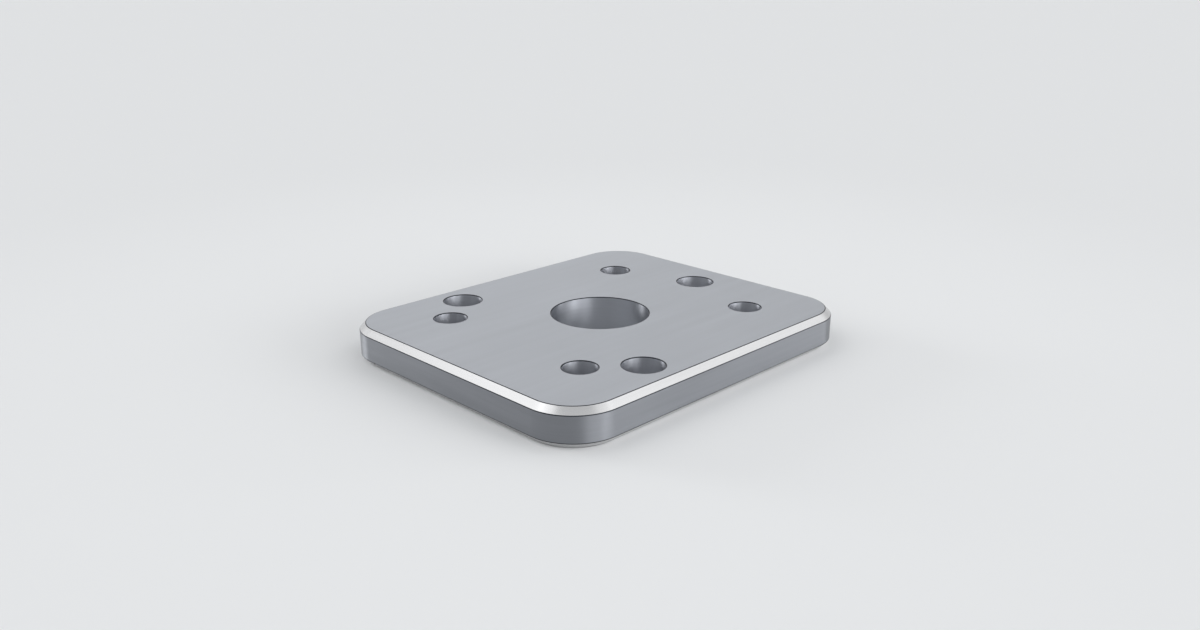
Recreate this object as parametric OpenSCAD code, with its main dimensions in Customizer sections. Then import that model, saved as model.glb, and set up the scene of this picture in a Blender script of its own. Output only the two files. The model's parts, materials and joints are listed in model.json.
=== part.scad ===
// Mounting plate, made from one piece: a rectangular plate with rounded corners and a 45 degree chamfer
// round both faces, a plain bore through its centre, four screw holes on a rectangle and three on a circle.
// Millimetres, +Z up. The origin is on the axis of the centre bore at the bottom face, and X is the long side.

/* [Plate] */
// Length of the plate, along X
plate_length = 64; // [60:1:120]
// Width of the plate, along Y
plate_width = 54; // [52:1:100]
// Thickness of the plate, chamfers included
plate_thickness = 6; // [4:0.5:12]
// Radius of the four corners, seen from above
corner_radius = 8; // [2:0.5:20]
// Leg of the 45 degree chamfer round the top and bottom faces
chamfer = 1; // [0.2:0.1:1.5]

/* [Centre bore] */
// Diameter of the bore through the centre
bore_diameter = 16; // [6:0.5:36]

/* [Four holes on a rectangle] */
// Spacing of the four holes along X, centre to centre
rectangle_length = 38; // [32:0.5:48]
// Spacing of the four holes along Y, centre to centre
rectangle_width = 30; // [20:0.5:38]
// Nominal diameter of the screws in these four holes
rectangle_screw = 5; // [3:0.5:6]
// Clearance of those screws in their holes, on the diameter
rectangle_clearance = 0.3; // [0.1:0.1:1]

/* [Holes on a circle round the bore] */
// Diameter of the circle that the centres of these holes lie on
circle_diameter = 48; // [36:0.5:50]
// Number of holes on the circle, the first of them on the +X side
circle_count = 3; // [2, 3, 6]
// Nominal diameter of the screws in these holes
circle_screw = 6; // [3:0.5:8]
// Clearance of those screws in their holes, on the diameter
circle_clearance = 0.4; // [0.1:0.1:1]

/* [Hidden] */
$fn = 96;

// Straight parts of the sides, between the corner arcs
straight_length = plate_length - 2 * corner_radius;
straight_width = plate_width - 2 * corner_radius;

// Holes that the screws pass through
rectangle_hole = rectangle_screw + rectangle_clearance;
circle_hole = circle_screw + circle_clearance;

// How far the drill runs past each face
drill_overrun = 1;

// Half of the plate's section: from a line inside the plate out to the upright wall, `reach` away
module half_section(reach) {
    polygon([
        [0, 0],
        [reach - chamfer, 0],
        [reach, chamfer],
        [reach, plate_thickness - chamfer],
        [reach - chamfer, plate_thickness],
        [0, plate_thickness]
    ]);
}

// Bar along X, chamfered on both of its long sides
module chamfered_bar(length, width) {
    rotate([90, 0, 90])
        linear_extrude(height = length, center = true) {
            half_section(width / 2);
            mirror([1, 0]) half_section(width / 2);
        }
}

// Round disc, chamfered all round, that makes one rounded corner
module chamfered_disc(radius) {
    rotate_extrude() half_section(radius);
}

// Puts its children at the four corners of a rectangle round the origin
module at_corners(length, width) {
    for (side_x = [-1, 1], side_y = [-1, 1])
        translate([side_x * length / 2, side_y * width / 2])
            children();
}

// Puts its children on a circle round the origin, evenly spaced from +X
module at_circle(diameter, count) {
    for (i = [0 : count - 1])
        rotate(i * 360 / count)
            translate([diameter / 2, 0])
                children();
}

// Plate with its rounded corners and chamfers, before it is drilled
module blank() {
    chamfered_bar(straight_length, plate_width);
    rotate(90) chamfered_bar(straight_width, plate_length);
    at_corners(straight_length, straight_width) chamfered_disc(corner_radius);
}

// Round drill through the whole thickness
module drill(diameter) {
    translate([0, 0, -drill_overrun])
        cylinder(d = diameter, h = plate_thickness + 2 * drill_overrun);
}

module plate() {
    color([0.67, 0.68, 0.70])
        difference() {
            blank();
            drill(bore_diameter);
            at_corners(rectangle_length, rectangle_width) drill(rectangle_hole);
            at_circle(circle_diameter, circle_count) drill(circle_hole);
        }
}

plate();
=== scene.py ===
import json
import math

import bpy
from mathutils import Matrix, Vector


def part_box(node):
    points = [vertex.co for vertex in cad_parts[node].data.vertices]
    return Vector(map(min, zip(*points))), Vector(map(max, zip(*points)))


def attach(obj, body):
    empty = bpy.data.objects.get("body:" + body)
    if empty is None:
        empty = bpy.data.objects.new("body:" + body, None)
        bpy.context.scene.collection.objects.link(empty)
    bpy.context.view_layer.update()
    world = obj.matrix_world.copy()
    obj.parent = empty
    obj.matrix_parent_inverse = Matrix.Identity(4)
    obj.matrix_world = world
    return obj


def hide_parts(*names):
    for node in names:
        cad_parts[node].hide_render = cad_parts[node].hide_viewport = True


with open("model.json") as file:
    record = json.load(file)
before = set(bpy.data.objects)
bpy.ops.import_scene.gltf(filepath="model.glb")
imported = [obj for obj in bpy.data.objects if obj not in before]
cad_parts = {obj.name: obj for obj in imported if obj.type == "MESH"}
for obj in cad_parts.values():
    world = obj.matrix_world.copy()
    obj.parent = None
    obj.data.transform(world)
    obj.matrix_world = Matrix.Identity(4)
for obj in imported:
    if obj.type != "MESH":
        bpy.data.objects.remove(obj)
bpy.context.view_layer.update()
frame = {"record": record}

scene = bpy.context.scene
mounts = {mount["name"]: mount["dims"] for mount in frame["record"]["mounts"]}
mm = 0.001


def addNode(tree, kind, sockets=None, **settings):
    # one node; sockets maps an input's name or number to a value or to the output that feeds it
    node = tree.nodes.new(kind)
    for name, value in settings.items():
        setattr(node, name, value)
    for key, value in (sockets or {}).items():
        if isinstance(value, bpy.types.NodeSocket):
            tree.links.new(value, node.inputs[key])
        else:
            node.inputs[key].default_value = value
    return node


def maths(tree, operation, *values):
    return addNode(tree, "ShaderNodeMath", dict(enumerate(values)), operation=operation).outputs[0]


def heading(turn, rise):
    # unit direction, from degrees round from +X and degrees up
    turn = math.radians(turn)
    rise = math.radians(rise)
    return Vector((math.cos(turn) * math.cos(rise), math.sin(turn) * math.cos(rise), math.sin(rise)))


# finishes of the bare aluminium

metalGrain = {             # what all the finishes share
    "clouds": 70.0,        # soft patches to a metre
    "cloudDetail": 1.0,
    "cloudShare": 0.25,    # their share of a finish's unevenness; tool marks are the rest
    "markDetail": 3.0,
    "markRoughness": 0.7,
    "noiseLow": 0.3,       # the unevenness that gives the low and the high end of a swing
    "noiseHigh": 0.7,
}

# marks: how many of the coarsest there are to a metre along X, Y and Z
# drag: how strongly the marks throw the light, and along which axis
metalLook = {
    "face": {              # flat brushed faces, grain along X
        "colour": (0.44, 0.455, 0.485),
        "toneSwing": 0.055,
        "roughness": 0.44,
        "roughnessSwing": 0.050,
        "marks": (28.0, 750.0, 750.0),
        "markHeight": 0.0015 * mm,
        "drag": (0.75, "Y"),
    },
    "side": {              # outer wall, marks along it; its dark colour is painted shade
        # painted shade: the wall colour is set far darker than the face's so the walls render shaded;
        # the marks along them are grain
        "colour": (0.24, 0.25, 0.27),
        "toneSwing": 0.070,
        "roughness": 0.46,
        "roughnessSwing": 0.040,
        "marks": (40.0, 40.0, 1100.0),
        "markHeight": 0.0010 * mm,
        "drag": (0.85, "Z"),
    },
    "chamfer": {           # marks along the edge
        "colour": (0.60, 0.60, 0.605),
        "toneSwing": 0.025,
        "roughness": 0.26,
        "roughnessSwing": 0.020,
        "marks": (50.0, 50.0, 2600.0),
        "markHeight": 0.0003 * mm,
    },
    "bore": {              # ring-shaped marks, which throw the light up and down the wall
        # painted shade: the bore colour is set darker than the small holes' so its lining renders
        # darker; the ring marks are grain
        "colour": (0.385, 0.40, 0.435),
        "toneSwing": 0.050,
        "roughness": 0.40,
        "roughnessSwing": 0.040,
        "marks": (60.0, 60.0, 1300.0),
        "markHeight": 0.0008 * mm,
        "drag": (0.85, "Z"),
    },
    "hole": {              # the same, finer, in the drilled holes
        "colour": (0.44, 0.455, 0.495),
        "toneSwing": 0.050,
        "roughness": 0.46,
        "roughnessSwing": 0.040,
        "marks": (80.0, 80.0, 2000.0),
        "markHeight": 0.0006 * mm,
        "drag": (0.85, "Z"),
    },
    "edge": {              # thin break round every edge, darker than the machined surfaces
        "colour": (0.04, 0.043, 0.05),
        "toneSwing": 0.250,
        "roughness": 0.50,
        "roughnessSwing": 0.050,
        "marks": (500.0, 500.0, 500.0),
        "markHeight": 0.0003 * mm,
    },
}


def metalFinish(name):
    look = metalLook[name]
    material = bpy.data.materials.new("aluminium " + name)
    material.use_nodes = True
    tree = material.node_tree
    shader = tree.nodes["Principled BSDF"]
    shader.inputs["Metallic"].default_value = 1.0

    place = addNode(tree, "ShaderNodeTexCoord").outputs["Object"]
    drawn = addNode(tree, "ShaderNodeMapping", {"Vector": place, "Scale": look["marks"]}).outputs[0]
    marks = addNode(tree, "ShaderNodeTexNoise", {
        "Vector": drawn, "Scale": 1.0,
        "Detail": metalGrain["markDetail"], "Roughness": metalGrain["markRoughness"],
    }).outputs["Fac"]
    clouds = addNode(tree, "ShaderNodeTexNoise", {
        "Vector": place, "Scale": metalGrain["clouds"], "Detail": metalGrain["cloudDetail"],
    }).outputs["Fac"]
    uneven = maths(tree, "MULTIPLY", marks, 1.0 - metalGrain["cloudShare"])
    uneven = maths(tree, "MULTIPLY_ADD", clouds, metalGrain["cloudShare"], uneven)

    def swing(middle, reach):
        # a value that varies over the surface by reach to each side of middle
        node = addNode(tree, "ShaderNodeMapRange", {
            "Value": uneven, "From Min": metalGrain["noiseLow"], "From Max": metalGrain["noiseHigh"],
            "To Min": middle - reach, "To Max": middle + reach,
        })
        return node.outputs["Result"]

    colour = addNode(tree, "ShaderNodeVectorMath",
                     {0: look["colour"], "Scale": swing(1.0, look["toneSwing"])}, operation="SCALE")
    tree.links.new(colour.outputs[0], shader.inputs["Base Color"])
    tree.links.new(swing(look["roughness"], look["roughnessSwing"]), shader.inputs["Roughness"])
    bump = addNode(tree, "ShaderNodeBump",
                   {"Height": marks, "Strength": 1.0, "Distance": look["markHeight"]})
    tree.links.new(bump.outputs["Normal"], shader.inputs["Normal"])
    if "drag" in look:
        drag, axis = look["drag"]
        shader.inputs["Anisotropic"].default_value = drag
        direction = addNode(tree, "ShaderNodeCombineXYZ", {axis: 1.0})
        tree.links.new(direction.outputs[0], shader.inputs["Tangent"])
    return material


finishes = {name: metalFinish(name) for name in metalLook}
print("finishes made")


# plate

plateLook = {
    "cornerRadius": 8.0 * mm,
    "chamfer": 1.0 * mm,
    "band": 3.0 * mm,           # how far the rim's own flat strip reaches in from the side
    "collar": 0.4 * mm,         # flat strip round each hole
    "rimBreak": 0.20 * mm,      # rounding left on the edges of the chamfers
    "holeBreak": 0.14 * mm,     # the same on the edges of the holes
    "breakSteps": 4,            # across a broken edge
    "cornerSteps": 48,          # round a corner of the plate
    "boreSteps": 160,           # round the bore
    "holeSteps": 96,            # round each small hole
    "weld": 0.001 * mm,         # points closer than this become one
}

low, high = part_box("plate")
boreMount = mounts["centre_bore"]
rectangleMount = mounts["four_hole_rectangle"]
circleMount = mounts["three_hole_circle"]
plateSizes = {
    "length": high.x - low.x,
    "width": high.y - low.y,
    "thickness": high.z - low.z,
    "cornerRadius": plateLook["cornerRadius"],
    "chamfer": plateLook["chamfer"],
    "rimBreak": plateLook["rimBreak"],
    "holeBreak": plateLook["holeBreak"],
    "boreDiameter": 2 * boreMount["r_mm"] * mm,
    "rectangleLength": rectangleMount["spacing_x_mm"] * mm,
    "rectangleWidth": rectangleMount["spacing_y_mm"] * mm,
    "rectangleHole": 2 * rectangleMount["hole_r_mm"] * mm,
    "circleDiameter": circleMount["pcd_mm"] * mm,
    "circleCount": int(circleMount["count"]),
    "circleHole": 2 * circleMount["hole_r_mm"] * mm,
}

# which way a face looks, by which it is kept and gets its finish
uprightSlope = 0.01              # most for a wall
chamferSlope = math.sqrt(0.5)
levelSlope = 0.999               # least for a flat face
slopeSlack = 0.01
leastTurn = 0.01                 # least for a face that looks from or to the axis


def compare(tree, operation, first, second, slack=0.001):
    node = addNode(tree, "FunctionNodeCompare", {0: first, 1: second},
                   data_type="FLOAT", operation=operation)
    if operation == "EQUAL":
        node.inputs["Epsilon"].default_value = slack
    return node.outputs["Result"]


def slope(tree):
    # how far each face looks up or down, from 0 on a wall to 1 on a flat face
    normal = addNode(tree, "GeometryNodeInputNormal").outputs["Normal"]
    parts = addNode(tree, "ShaderNodeSeparateXYZ", {0: normal})
    return maths(tree, "ABSOLUTE", parts.outputs["Z"])


def outwards(tree):
    # how far each face looks away from the Z axis, below 0 where it looks towards it
    normal = addNode(tree, "GeometryNodeInputNormal").outputs["Normal"]
    place = addNode(tree, "GeometryNodeInputPosition").outputs["Position"]
    flat = (1.0, 1.0, 0.0)
    across = addNode(tree, "ShaderNodeVectorMath", {0: normal, 1: flat}, operation="MULTIPLY")
    spoke = addNode(tree, "ShaderNodeVectorMath", {0: place, 1: flat}, operation="MULTIPLY")
    spoke = addNode(tree, "ShaderNodeVectorMath", {0: spoke.outputs[0]}, operation="NORMALIZE")
    dot = addNode(tree, "ShaderNodeVectorMath", {0: across.outputs[0], 1: spoke.outputs[0]},
                  operation="DOT_PRODUCT")
    return dot.outputs["Value"]


def paint(tree, geometry, finish, where=None):
    sockets = {"Geometry": geometry, "Material": finishes[finish]}
    if where is not None:
        sockets["Selection"] = where
    return addNode(tree, "GeometryNodeSetMaterial", sockets).outputs["Geometry"]


def fillet(tree, curve, count, radius):
    node = addNode(tree, "GeometryNodeFilletCurve",
                   {"Curve": curve, "Count": count, "Radius": radius}, mode="POLY")
    return node.outputs["Curve"]


def rectangle(tree, width, height):
    node = addNode(tree, "GeometryNodeCurvePrimitiveQuadrilateral", {"Width": width, "Height": height})
    return node.outputs["Curve"]


def sweep(tree, path, section, rounding):
    # carries a section, its corners broken, along a flat closed path
    section = fillet(tree, section, plateLook["breakSteps"], rounding)
    path = addNode(tree, "GeometryNodeSetCurveNormal", {"Curve": path}, mode="Z_UP").outputs["Curve"]
    node = addNode(tree, "GeometryNodeCurveToMesh", {"Curve": path, "Profile Curve": section})
    return node.outputs["Mesh"]


def discard(tree, geometry, where):
    node = addNode(tree, "GeometryNodeDeleteGeometry",
                   {"Geometry": geometry, "Selection": where}, domain="FACE")
    return node.outputs["Geometry"]


def rim(tree, size):
    # chamfered wall round the plate, with the edge strips of both flat faces
    length = maths(tree, "SUBTRACT", size["length"], plateLook["band"])
    width = maths(tree, "SUBTRACT", size["width"], plateLook["band"])
    radius = maths(tree, "SUBTRACT", size["cornerRadius"], plateLook["band"] / 2)
    path = fillet(tree, rectangle(tree, length, width), plateLook["cornerSteps"], radius)
    section = rectangle(tree, plateLook["band"], size["thickness"])
    section = fillet(tree, section, 1, size["chamfer"])     # a single step is a flat cut at 45 degrees
    band = sweep(tree, path, section, size["rimBreak"])
    band = discard(tree, band, compare(tree, "LESS_THAN", outwards(tree), -leastTurn))
    band = paint(tree, band, "edge")
    band = paint(tree, band, "side", compare(tree, "LESS_THAN", slope(tree), uprightSlope))
    return paint(tree, band, "chamfer", compare(tree, "EQUAL", slope(tree), chamferSlope, slopeSlack))


def lining(tree, diameter, steps, finish, size):
    # wall of one hole on the Z axis, with the collars that join it to both flat faces
    middle = maths(tree, "MULTIPLY_ADD", diameter, 0.5, plateLook["collar"] / 2)
    path = addNode(tree, "GeometryNodeCurvePrimitiveCircle", {"Resolution": steps, "Radius": middle})
    section = rectangle(tree, plateLook["collar"], size["thickness"])
    band = sweep(tree, path.outputs["Curve"], section, size["holeBreak"])
    band = discard(tree, band, compare(tree, "GREATER_THAN", outwards(tree), leastTurn))
    band = paint(tree, band, "edge")
    return paint(tree, band, finish, compare(tree, "LESS_THAN", slope(tree), uprightSlope))


def repeat(tree, geometry, points):
    node = addNode(tree, "GeometryNodeInstanceOnPoints", {"Points": points, "Instance": geometry})
    return node.outputs["Instances"]


def openLoops(tree, walls, above):
    # open edges, which have one face, at the top or the bottom of the walls, as curves
    neighbours = addNode(tree, "GeometryNodeInputMeshEdgeNeighbors").outputs["Face Count"]
    place = addNode(tree, "GeometryNodeInputPosition").outputs["Position"]
    height = addNode(tree, "ShaderNodeSeparateXYZ", {0: place}).outputs["Z"]
    single = compare(tree, "EQUAL", neighbours, 1.0)
    half = compare(tree, "GREATER_THAN" if above else "LESS_THAN", height, 0.0)
    both = addNode(tree, "FunctionNodeBooleanMath", {0: single, 1: half}, operation="AND").outputs[0]
    return addNode(tree, "GeometryNodeMeshToCurve", {"Mesh": walls, "Selection": both}).outputs["Curve"]


def shift(tree, geometry, height):
    offset = addNode(tree, "ShaderNodeCombineXYZ", {"Z": height}).outputs[0]
    node = addNode(tree, "GeometryNodeTransform", {"Geometry": geometry, "Translation": offset})
    return node.outputs["Geometry"]


def flatFace(tree, walls, above, size):
    # fills what the loops enclose and leaves the holes open
    loops = openLoops(tree, walls, above)
    filled = addNode(tree, "GeometryNodeFillCurve", {"Curve": loops}, mode="TRIANGLES").outputs["Mesh"]
    filled = shift(tree, filled, maths(tree, "MULTIPLY", size["thickness"], 0.5 if above else -0.5))
    if above:
        return filled
    return addNode(tree, "GeometryNodeFlipFaces", {"Mesh": filled}).outputs["Mesh"]


def join(tree, *parts):
    node = tree.nodes.new("GeometryNodeJoinGeometry")
    for part in parts:
        tree.links.new(part, node.inputs["Geometry"])
    return node.outputs["Geometry"]


def crispEdges(tree, geometry):
    # smooth shading, but crisp where a broken edge meets a machined surface, so the surfaces stay flat
    broken = addNode(tree, "GeometryNodeMaterialSelection", {"Material": finishes["edge"]}).outputs[0]
    share = addNode(tree, "GeometryNodeFieldOnDomain",
                    {0: broken}, data_type="FLOAT", domain="FACE").outputs[0]
    # at a border one of the two faces is broken, elsewhere none or both are
    borderShare = 0.5
    border = compare(tree, "EQUAL", share, borderShare, borderShare / 2)
    smooth = addNode(tree, "GeometryNodeSetShadeSmooth",
                     {"Geometry": geometry, "Shade Smooth": True}, domain="FACE").outputs["Geometry"]
    crisp = addNode(tree, "GeometryNodeSetShadeSmooth",
                    {"Geometry": smooth, "Selection": border, "Shade Smooth": False}, domain="EDGE")
    return crisp.outputs["Geometry"]


def plateTree():
    tree = bpy.data.node_groups.new("plateBuilder", "GeometryNodeTree")
    tree.interface.new_socket("Geometry", in_out="OUTPUT", socket_type="NodeSocketGeometry")
    for name, value in plateSizes.items():
        kind = "NodeSocketInt" if isinstance(value, int) else "NodeSocketFloat"
        tree.interface.new_socket(name, in_out="INPUT", socket_type=kind)
    source = tree.nodes.new("NodeGroupInput")
    size = {name: source.outputs[name] for name in plateSizes}

    corners = addNode(tree, "GeometryNodeMeshGrid", {
        "Size X": size["rectangleLength"], "Size Y": size["rectangleWidth"],
        "Vertices X": 2, "Vertices Y": 2,
    }).outputs["Mesh"]
    radius = maths(tree, "MULTIPLY", size["circleDiameter"], 0.5)
    circle = addNode(tree, "GeometryNodeMeshCircle", {"Vertices": size["circleCount"], "Radius": radius})
    smallHole = lining(tree, size["rectangleHole"], plateLook["holeSteps"], "hole", size)
    rectangleHoles = repeat(tree, smallHole, corners)
    largeHole = lining(tree, size["circleHole"], plateLook["holeSteps"], "hole", size)
    circleHoles = repeat(tree, largeHole, circle.outputs["Mesh"])
    bore = lining(tree, size["boreDiameter"], plateLook["boreSteps"], "bore", size)
    walls = join(tree, rim(tree, size), bore, rectangleHoles, circleHoles)
    walls = addNode(tree, "GeometryNodeRealizeInstances", {"Geometry": walls}).outputs["Geometry"]

    solid = join(tree, walls, flatFace(tree, walls, True, size), flatFace(tree, walls, False, size))
    solid = addNode(tree, "GeometryNodeMergeByDistance",
                    {"Geometry": solid, "Distance": plateLook["weld"]}).outputs["Geometry"]
    solid = shift(tree, solid, maths(tree, "MULTIPLY", size["thickness"], 0.5))
    solid = addNode(tree, "GeometryNodeRealizeInstances", {"Geometry": solid}).outputs["Geometry"]
    solid = paint(tree, solid, "face", compare(tree, "GREATER_THAN", slope(tree), levelSlope))
    solid = crispEdges(tree, solid)
    tree.links.new(solid, tree.nodes.new("NodeGroupOutput").inputs[0])
    return tree


def makePlate():
    tree = plateTree()
    holder = bpy.data.objects.new("plateHolder", bpy.data.meshes.new("plateHolder"))
    scene.collection.objects.link(holder)
    modifier = holder.modifiers.new("plateBuilder", "NODES")
    modifier.node_group = tree
    for item in tree.interface.items_tree:
        if item.item_type == "SOCKET" and item.in_out == "INPUT":
            modifier[item.identifier] = plateSizes[item.name]
    graph = bpy.context.evaluated_depsgraph_get()
    mesh = bpy.data.meshes.new_from_object(holder.evaluated_get(graph), depsgraph=graph)
    holder.modifiers.remove(modifier)
    bpy.data.objects.remove(holder)
    piece = bpy.data.objects.new("machinedPlate", mesh)
    scene.collection.objects.link(piece)
    return piece


plate = makePlate()
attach(plate, "root")
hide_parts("plate")
print("plate made:", len(plate.data.vertices), "points,", len(plate.data.polygons), "faces")


# studio

studioLook = {
    "backdrop": (0.745, 0.753, 0.761),   # pale grey behind and below the plate
    "ambient": 0.88,                     # share of the backdrop that falls on the floor as light
    "floorColour": (0.80, 0.808, 0.816),
    "farShare": 0.95,                    # the floor's tone far out, where it runs into the backdrop
    "nearReach": 0.06,                   # metres from the centre where the floor starts to change
    "farReach": 0.18,                    # and where it has changed
    "floorSize": 8.0,
    "softboxes": {                       # degrees round from +X, degrees up, strength, degrees across
        "leftStrip": (250.0, 10.0, 0.17, 16.0),
        "frontLeftStrip": (265.0, 11.0, 0.60, 26.0),
        "frontStrip": (285.0, 9.0, 0.56, 17.0),
        "frontRightStrip": (300.0, 11.0, 0.64, 26.0),
        "rightStrip": (325.0, 11.0, 0.25, 26.0),
        "rightLowStrip": (330.0, 4.5, 0.24, 9.0),
        "rightBox": (330.0, 28.0, 0.18, 40.0),
        "frontHighBox": (310.0, 50.0, 0.09, 30.0),
        "backBox": (60.0, 35.0, 0.11, 50.0),
        "backStrip": (110.0, 9.0, 0.93, 17.0),
        "leftHighBox": (130.0, 37.0, 0.17, 30.0),
        "leftTopBox": (145.0, 57.0, 0.14, 26.0),
    },
}


def addSoftbox(name, turn, rise, strength, across):
    # a wide sun, so that it lights plate and floor evenly
    light = bpy.data.lights.new(name, "SUN")
    light.energy = strength
    light.angle = math.radians(across)
    lamp = bpy.data.objects.new(name, light)
    lamp.rotation_euler = heading(turn, rise).to_track_quat("Z", "Y").to_euler()
    scene.collection.objects.link(lamp)


def makeWorld():
    # camera and reflections see the backdrop in full, and the ambient share of it lights the rest
    world = bpy.data.worlds.new("paleStudio")
    world.use_nodes = True
    tree = world.node_tree
    sky = tree.nodes["Background"]
    rays = addNode(tree, "ShaderNodeLightPath").outputs
    seen = maths(tree, "MAXIMUM", rays["Is Camera Ray"], rays["Is Glossy Ray"])
    seen = maths(tree, "MAXIMUM", seen, rays["Is Transmission Ray"])
    level = addNode(tree, "ShaderNodeMapRange",
                    {"Value": seen, "To Min": studioLook["ambient"], "To Max": 1.0})
    sky.inputs["Color"].default_value = (*studioLook["backdrop"], 1.0)
    tree.links.new(level.outputs["Result"], sky.inputs["Strength"])
    scene.world = world


def makeFloor():
    half = studioLook["floorSize"] / 2
    corners = [(-half, -half, 0), (half, -half, 0), (half, half, 0), (-half, half, 0)]
    mesh = bpy.data.meshes.new("floor")
    mesh.from_pydata(corners, [], [(0, 1, 2, 3)])
    floor = bpy.data.objects.new("floor", mesh)
    scene.collection.objects.link(floor)
    material = bpy.data.materials.new("pale floor")
    material.use_nodes = True
    tree = material.node_tree
    shader = tree.nodes["Principled BSDF"]
    place = addNode(tree, "ShaderNodeTexCoord").outputs["Object"]
    reach = addNode(tree, "ShaderNodeVectorMath", {0: place}, operation="LENGTH").outputs["Value"]
    share = addNode(tree, "ShaderNodeMapRange", {
        "Value": reach, "From Min": studioLook["nearReach"], "From Max": studioLook["farReach"],
        "To Min": 1.0, "To Max": studioLook["farShare"],
    }, interpolation_type="SMOOTHSTEP").outputs["Result"]
    colour = addNode(tree, "ShaderNodeVectorMath",
                     {0: studioLook["floorColour"], "Scale": share}, operation="SCALE").outputs[0]
    tree.links.new(colour, shader.inputs["Base Color"])
    shader.inputs["Roughness"].default_value = 1.0
    shader.inputs["Specular IOR Level"].default_value = 0.0
    mesh.materials.append(material)


makeWorld()
makeFloor()
for name, values in studioLook["softboxes"].items():
    addSoftbox(name, *values)
print("studio made")


# camera

cameraView = {
    "turn": -135.0,           # degrees round from +X; the plate's near corner faces the camera
    "rise": 19.07,            # degrees up
    "distance": 169.16 * mm,
    "aimBelowTop": 0.486 * mm,
    "lens": 31.017,           # millimetres, as the sensor
    "sensor": 36.0,
    "nearest": 0.01,          # metres between which the camera sees
    "farthest": 20.0,
}


def makeCamera():
    data = bpy.data.cameras.new("camera")
    data.sensor_width = cameraView["sensor"]
    data.lens = cameraView["lens"]
    data.clip_start = cameraView["nearest"]
    data.clip_end = cameraView["farthest"]
    back = heading(cameraView["turn"], cameraView["rise"])
    aim = Vector((0.0, 0.0, high.z - cameraView["aimBelowTop"]))
    camera = bpy.data.objects.new("camera", data)
    camera.location = aim + back * cameraView["distance"]
    camera.rotation_euler = (-back).to_track_quat("-Z", "Y").to_euler()
    scene.collection.objects.link(camera)
    scene.camera = camera


makeCamera()
scene.view_settings.view_transform = "Standard"
print("camera made")
